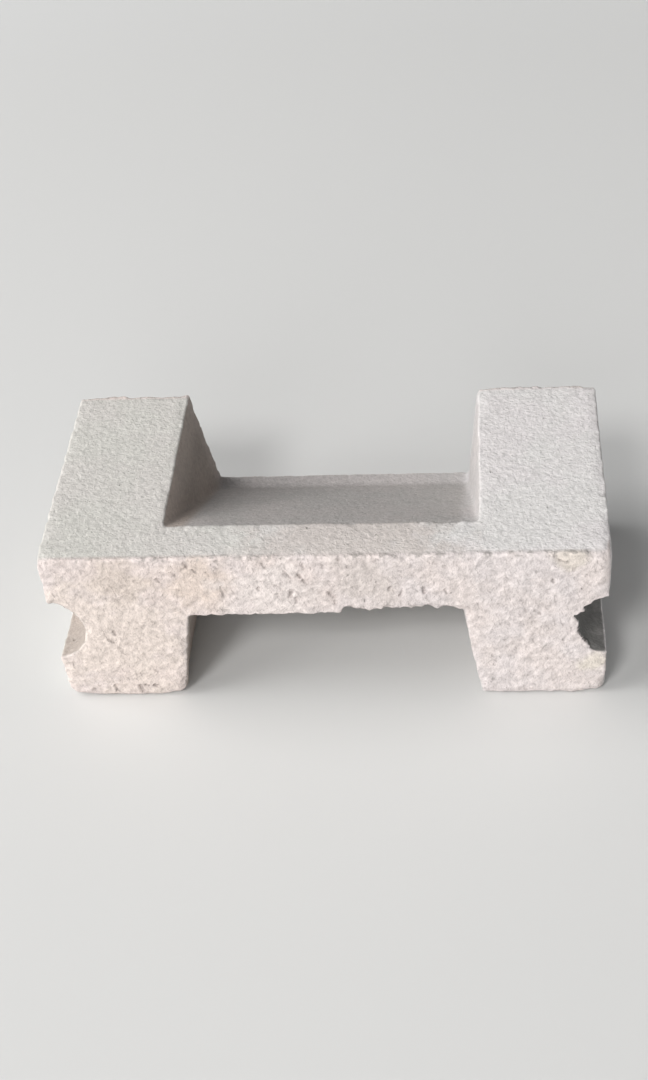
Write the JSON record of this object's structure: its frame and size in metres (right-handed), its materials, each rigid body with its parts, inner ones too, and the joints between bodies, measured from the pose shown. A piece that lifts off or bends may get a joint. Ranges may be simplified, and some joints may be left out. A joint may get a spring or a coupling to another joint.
{
  "type": "concrete louvre ventilation block",
  "caption": "Rectangular concrete masonry block with solid drafted cheeks, a sloping slat that lets air through and keeps rain out, and half-round mortar grooves on its sides.",
  "frame": {"origin": "middle of the block's back, where it lies on the ground", "axes": "+X across the block from groove to groove, +Y from the near end with the slat's strip in the face to the far end, +Z from the back to the face"},
  "size_m": [0.4, 0.19, 0.14],
  "materials": {
    "concrete": "rough sandy cast concrete, pale grey with open pores"
  },
  "bodies": {
    "root": {"louvre_block": "concrete"}
  },
  "joints": []
}
